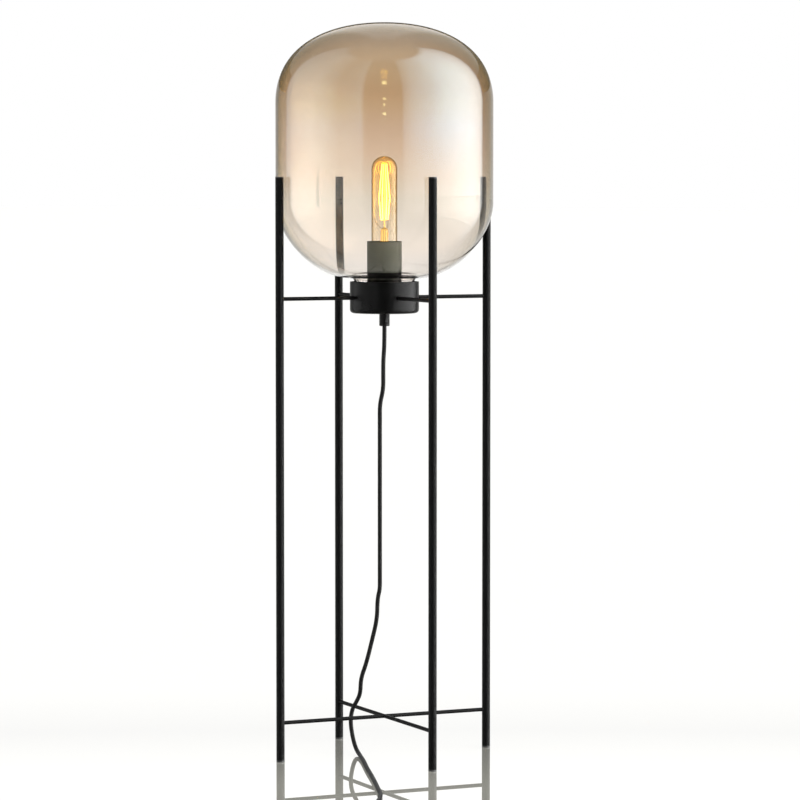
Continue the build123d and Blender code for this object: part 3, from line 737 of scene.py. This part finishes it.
def make_bulb_wires():
    data = new_tube("bulb_wires", BULB_WIRE, BULB_WIRE_ROUND_STEPS, BULB_WIRE_ALONG_STEPS)
    for route in [LONG_LEAD, SHORT_LEAD, *STEM_WIRES]:
        upright_line(data, route, camera_right)
    for k in range(HOOKS):
        upright_line(data, HOOK, Vector(on_ring(1, 0, (k + 0.5) / HOOKS)))
    add_piece("bulb_wires", data, lead_gold, "bulb", "support_steel")


def make_cap_thread():
    """The cap's rolled thread: a screw surface between its lip and its rim."""
    low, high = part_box("bulb_cap")
    mean = high.x - THREAD_DEPTH / 2
    start, end = low.z + THREAD_MARGIN, high.z - THREAD_MARGIN
    verts = []
    for row in range(THREAD_ROWS + 1):
        height = start + (end - start) * row / THREAD_ROWS
        fade = min(1, row / THREAD_FADE_ROWS, (THREAD_ROWS - row) / THREAD_FADE_ROWS)
        for k in range(THREAD_SIDES):
            turn = k / THREAD_SIDES
            wave = math.cos(2 * math.pi * ((height - start) / THREAD_PITCH - turn))
            verts.append(on_ring(mean + fade * THREAD_DEPTH / 2 * wave, height, turn))
    for radius, height in [(radius, low.z) for radius in CAP_FOOT] + [(mean, high.z)]:
        verts += [on_ring(radius, height, k / THREAD_SIDES) for k in range(THREAD_SIDES)]
    foot_inner, foot_outer, lip = (THREAD_ROWS + extra for extra in (1, 2, 3))
    pairs = [(row, row + 1) for row in range(THREAD_ROWS)]
    pairs += [(foot_inner, foot_outer), (foot_outer, 0), (THREAD_ROWS, lip)]
    faces = []
    for below, above in pairs:
        faces += band(below * THREAD_SIDES, above * THREAD_SIDES, THREAD_SIDES)
    mesh = bpy.data.meshes.new("cap_thread")
    mesh.from_pydata(verts, [], faces)
    mesh.shade_smooth()
    piece = add_piece("cap_thread", mesh, brass, "bulb", "bulb_cap_brass", "bulb_cap")
    wall = piece.modifiers.new("wall", "SOLIDIFY")
    wall.thickness = CAP_WALL
    wall.offset = -1


# Foot switch and plug: the moulded ribs that stop a foot or a finger from slipping
RIB_RADIUS = 0.0006
RIB_TIP_SHARE = 0.02  # of that radius, where a rib's dome ends
RIB_RINGS = 14
RIB_SIDES = 12
SWITCH_RIB_REACHES = (0.0165, 0.0195, 0.0225)  # from the switch's middle
SWITCH_RIB_LENGTH = 0.016
PLUG_RIB_SETBACKS = (0.010, 0.013, 0.016, 0.019)  # from the plug body's rear end
PLUG_RIB_LENGTH = 0.020
BUTTON_RING_RADIUS = 0.0046
BUTTON_RING_STEPS = 64


def make_ribs(name, across, top, length, slot):
    """Half-round ribs along Y with domed ends, one at each x of across, sunk to their axis at top."""
    verts, faces = [], []
    for x in across:
        first = len(verts)
        for ring in range(RIB_RINGS):
            swing = math.pi * ring / (RIB_RINGS - 1)
            reach = -math.cos(swing)
            y = TAIL_Y + math.copysign(length / 2 - RIB_RADIUS, reach) + RIB_RADIUS * reach
            size = RIB_RADIUS * max(math.sin(swing), RIB_TIP_SHARE)
            for side in range(RIB_SIDES):
                angle = 2 * math.pi * side / RIB_SIDES
                verts.append((x + size * math.cos(angle), y, top + size * math.sin(angle)))
        last = first + (RIB_RINGS - 1) * RIB_SIDES
        for ring in range(first, last, RIB_SIDES):
            faces += band(ring, ring + RIB_SIDES, RIB_SIDES)
        faces.append(tuple(first + side for side in range(RIB_SIDES))[::-1])
        faces.append(tuple(last + side for side in range(RIB_SIDES)))
    mesh = bpy.data.meshes.new(name)
    mesh.from_pydata(verts, [], faces)
    mesh.shade_smooth()
    return add_piece(name, mesh, black_plastic, "stand", slot)


def make_switch_details():
    """The ribs on switch and plug and the ring on the button; returns those on the cord's fixed pieces."""
    low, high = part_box("switch_cover")
    middle = (low.x + high.x) / 2
    across = [middle + side * reach for side in (-1, 1) for reach in SWITCH_RIB_REACHES]
    switch_ribs = make_ribs("switch_ribs", across, high.z, SWITCH_RIB_LENGTH, "switch_black")
    button_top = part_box("switch_button")[1].z
    turns = [2 * math.pi * k / RIB_SIDES for k in range(RIB_SIDES)]
    outline = [
        (BUTTON_RING_RADIUS + RIB_RADIUS * math.cos(turn), button_top + RIB_RADIUS * math.sin(turn))
        for turn in turns
    ]
    ring = turned("button_ring", outline, BUTTON_RING_STEPS, sharp=60)
    ring.transform(Matrix.Translation((middle, TAIL_Y, 0)))
    add_piece("button_ring", ring, satin_plastic, "button", "button_black")
    across = [plug_high.x - setback for setback in PLUG_RIB_SETBACKS]
    plug_ribs = make_ribs("plug_ribs", across, plug_high.z, PLUG_RIB_LENGTH, "plug_black")
    return [switch_ribs, plug_ribs]


# Rays by what they have met, for the plain white that the studio shows them
def straight_sight(owner, *kinds):
    """1 for a ray that has only gone through glass, or is of one of those kinds, and 0 for any other."""
    path = add_node(owner, "ShaderNodeLightPath")
    through = path.outputs["Is Transmission Ray"]
    for kind in kinds:
        through = maths(owner, "MAXIMUM", through, path.outputs[kind])
    bounces = maths(owner, "ADD", path.outputs["Glossy Depth"], path.outputs["Diffuse Depth"])
    return maths(owner, "MULTIPLY", through, maths(owner, "LESS_THAN", bounces, 0.5))


def mirrored_by_floor(owner):
    """1 for a ray whose only reflection was in the floor: it went through the clear film there twice."""
    path = add_node(owner, "ShaderNodeLightPath")
    once = maths(owner, "COMPARE", path.outputs["Glossy Depth"], 1.0, 0.5)
    twice = maths(owner, "GREATER_THAN", path.outputs["Transparent Depth"], 1.5)
    sharp = maths(owner, "LESS_THAN", path.outputs["Diffuse Depth"], 0.5)
    return maths(owner, "MULTIPLY", maths(owner, "MULTIPLY", once, twice), sharp)


# A dark screen behind the lamp, which only shows as the thin dark line on the crown's edge
SCREEN_LOW = 0.975
SCREEN_HIGH = 1.45
SCREEN_DISTANCE = 2.0
SCREEN_HALF_ANGLE = 55
SCREEN_STEPS = 24


def make_screen():
    verts, faces = [], []
    for k in range(SCREEN_STEPS + 1):
        angle = math.radians(SCREEN_HALF_ANGLE * (2 * k / SCREEN_STEPS - 1))
        away = -toward_camera * math.cos(angle) + camera_right * math.sin(angle)
        verts += [tuple(away * SCREEN_DISTANCE + Vector((0, 0, z))) for z in (SCREEN_LOW, SCREEN_HIGH)]
    for k in range(0, 2 * SCREEN_STEPS, 2):
        faces.append((k, k + 2, k + 3, k + 1))
    mesh = bpy.data.meshes.new("screen")
    mesh.from_pydata(verts, [], faces)
    sockets = {"Base_Color": colour(0.02), "Roughness": 0.9, "Specular_IOR_Level": 0.0}
    material, principled = shader("screen_black", **sockets)
    clear = add_node(material, "ShaderNodeBsdfTransparent", Color=colour(1.0))
    black, gone = principled.outputs["BSDF"], clear.outputs["BSDF"]
    set_surface(material, mix_shaders(material, mirrored_by_floor(material), black, gone))
    mesh.materials.append(material)
    screen = add_object("screen", mesh)
    screen.visible_camera = False
    screen.visible_transmission = False
    screen.visible_diffuse = False
    screen.visible_shadow = False


# The bulb's bright mirror images in the shade's crown come from lights that only reflections see
GLINTS = [  # kind, height, radius, radiance
    ("SPOT", 0.7015, 0.0045, 700),
    ("SPOT", 0.7090, 0.0034, 1300),
    ("SPOT", 0.7155, 0.0028, 1500),
    ("SPOT", 0.7215, 0.0022, 1300),
    ("SPOT", 0.7270, 0.0014, 900),
    ("POINT", 0.7490, 0.0024, 700),
    ("POINT", 0.7590, 0.0018, 500),
]
GLINT_COLOUR = (1.0, 0.62, 0.25)
GLINT_SPREAD = 120
GLINT_BLEND = 0.2


def make_glints():
    for kind, height, radius, radiance in GLINTS:
        data = bpy.data.lights.new("glint", kind)
        data.shadow_soft_size = radius
        data.energy = radiance * (2 * math.pi * radius) ** 2
        if kind == "SPOT":
            data.spot_size = math.radians(GLINT_SPREAD)
            data.spot_blend = GLINT_BLEND
        data.color = GLINT_COLOUR
        glint = add_object("glint", data)
        glint.location = (0, 0, height)
        glint.rotation_euler = (math.pi, 0, 0)
        glint.visible_camera = False
        glint.visible_transmission = False
        glint.visible_diffuse = False


GLOW = {"Threshold": 12.0, "Strength": 0.30, "Size": 0.06, "Saturation": 1.0}


def make_glow():
    """A soft bloom round the filament."""
    scene = bpy.context.scene
    scene.use_nodes = True
    tree = scene.node_tree
    tree.nodes.clear()
    layers = tree.nodes.new("CompositorNodeRLayers")
    glare = tree.nodes.new("CompositorNodeGlare")
    glare.glare_type = "BLOOM"
    for name, value in GLOW.items():
        glare.inputs[name].default_value = value
    out = tree.nodes.new("CompositorNodeComposite")
    tree.links.new(layers.outputs["Image"], glare.inputs["Image"])
    tree.links.new(glare.outputs["Image"], out.inputs["Image"])


# Studio: a glossy white floor, and light painted on the sky around the lamp
FLOOR_REACH = 60.0
FILM_HEIGHT = 0.00005
# By how grazing the sight is: the floor's share of mirror, and the strength of its white veil of painted
# light, which is strongest in front of the lamp, weakest at its feet and stronger again behind them
MIRROR_FACING, MIRROR_SHARE = (0.25, 0.88), (0.05, 0.82)
FRONT_FACING, FRONT_PAINTED_LIGHT = (0.834, 0.849), (0.17, 0.04)
BACK_FACING, BACK_PAINTED_LIGHT = (0.849, 0.860), (0.0, 0.06)


def make_floor_white():
    """A matt and a mirror surface, with a veil of painted light for the camera, and plain white where glass
    shows it.
    """
    material = bare_material("floor_white")
    matt = add_node(material, "ShaderNodeBsdfDiffuse", Color=colour(0.30, 0.30, 0.275))
    gloss = add_node(material, "ShaderNodeBsdfGlossy", Color=colour(1.0), Roughness=0.0)
    facing = add_node(material, "ShaderNodeLayerWeight", Blend=0.5).outputs["Facing"]
    mirror = map_range(material, facing, MIRROR_FACING, MIRROR_SHARE, interpolation_type="SMOOTHSTEP")
    polished = mix_shaders(material, mirror, matt.outputs["BSDF"], gloss.outputs["BSDF"])
    # The veil is painted light: an emission over the floor that only the camera sees
    front = map_range(material, facing, FRONT_FACING, FRONT_PAINTED_LIGHT)
    back = map_range(material, facing, BACK_FACING, BACK_PAINTED_LIGHT)
    seen = add_node(material, "ShaderNodeLightPath").outputs["Is Camera Ray"]
    painted_light_veil = add_node(material, "ShaderNodeEmission", Color=colour(1.0, 0.98, 0.86))
    strength = maths(material, "MULTIPLY", maths(material, "ADD", front, back), seen)
    link(material, strength, painted_light_veil.inputs["Strength"])
    floor_with_painted_light = add_node(material, "ShaderNodeAddShader")
    link(material, polished, floor_with_painted_light.inputs[0])
    link(material, painted_light_veil.outputs["Emission"], floor_with_painted_light.inputs[1])
    white = add_node(material, "ShaderNodeEmission", Color=colour(1.0), Strength=1.0)
    sight = straight_sight(material)
    set_surface(material, mix_shaders(material, sight, floor_with_painted_light.outputs["Shader"], white.outputs["Emission"]))
    return material


def add_square(name, height, material):
    corners = [(-1, -1), (1, -1), (1, 1), (-1, 1)]
    mesh = bpy.data.meshes.new(name)
    verts = [(x * FLOOR_REACH, y * FLOOR_REACH, height) for x, y in corners]
    mesh.from_pydata(verts, [], [(0, 1, 2, 3)])
    mesh.materials.append(material)
    add_object(name, mesh)


def make_floor():
    """The floor, with a clear film just over it that marks the rays it mirrors."""
    add_square("floor", 0, make_floor_white())
    film = bare_material("film_clear")
    clear = add_node(film, "ShaderNodeBsdfTransparent", Color=colour(1.0))
    set_surface(film, clear.outputs["BSDF"])
    add_square("floor_film", FILM_HEIGHT, film)


# Light by the angle round the lamp, counted from the camera, positive to its right
SKY_ROUND = [
    (-180, 1.1),
    (-172, 1.1),
    (-166, 0.50),
    (-150, 0.35),
    (-140, 0.30),
    (-128, 0.35),
    (-124.5, 1.40),
    (-115, 1.80),
    (-102, 2.20),
    (-84, 2.45),
    (-67, 1.90),
    (-49, 1.00),
    (-34, 1.30),
    (-24.5, 1.70),
    (-21, 0.20),
    (18, 0.20),
    (21, 1.60),
    (34, 3.80),
    (49, 5.60),
    (67, 8.30),
    (84, 9.30),
    (102, 8.30),
    (115, 5.60),
    (124, 3.60),
    (127.5, 0.25),
    (135, 0.28),
    (144, 0.40),
    (156, 0.60),
    (166, 0.60),
    (172, 1.1),
    (180, 1.1),
]
SKY_PEAK = 9.3
SKY_TOP = 0.60
# The share of the soft boxes' light, by degrees of height
SKY_BY_HEIGHT = [(0, 1.0), (12, 1.0), (35, 0.85), (55, 0.6), (64, 0.45), (69, 0.0)]


def along(owner, direction, axis):
    """How far that direction goes along the axis."""
    node = add_node(owner, "ShaderNodeVectorMath", operation="DOT_PRODUCT")
    link(owner, direction, node.inputs[0])
    node.inputs[1].default_value = axis
    return node.outputs["Value"]


def make_sky():
    world = bpy.data.worlds.new("studio")
    world.use_nodes = True
    bpy.context.scene.world = world
    world.node_tree.nodes.clear()
    direction = add_node(world, "ShaderNodeTexCoord").outputs["Generated"]
    aside, ahead = along(world, direction, camera_right), along(world, direction, toward_camera)
    angle = maths(world, "ARCTAN2", aside, ahead)
    share = map_range(world, angle, (-math.pi, math.pi), (0.0, 1.0))
    stops = [((degrees + 180) / 360, colour(value / SKY_PEAK)) for degrees, value in SKY_ROUND]
    boxes = ramp(world, share, *stops)
    split = add_node(world, "ShaderNodeSeparateXYZ")
    link(world, direction, split.inputs["Vector"])
    stops = [(math.sin(math.radians(degrees)), colour(value)) for degrees, value in SKY_BY_HEIGHT]
    level = ramp(world, split.outputs["Z"], *stops)
    painted = mix_colours(world, level, colour(SKY_TOP / SKY_PEAK), boxes)
    studio = add_node(world, "ShaderNodeBackground", Strength=SKY_PEAK)
    link(world, painted, studio.inputs["Color"])
    backdrop = add_node(world, "ShaderNodeBackground", Color=colour(1.0), Strength=1.0)
    plain = maths(world, "MAXIMUM", straight_sight(world, "Is Camera Ray"), mirrored_by_floor(world))
    sky = mix_shaders(world, plain, studio.outputs["Background"], backdrop.outputs["Background"])
    link(world, sky, add_node(world, "ShaderNodeOutputWorld").inputs["Surface"])


make_camera()
switch_details = make_switch_details()
make_cord()
make_shade()
make_bulb_wires()
make_cap_thread()
make_screen()
make_glints()
make_glow()
make_floor()
make_sky()
bpy.context.scene.view_settings.view_transform = "Standard"
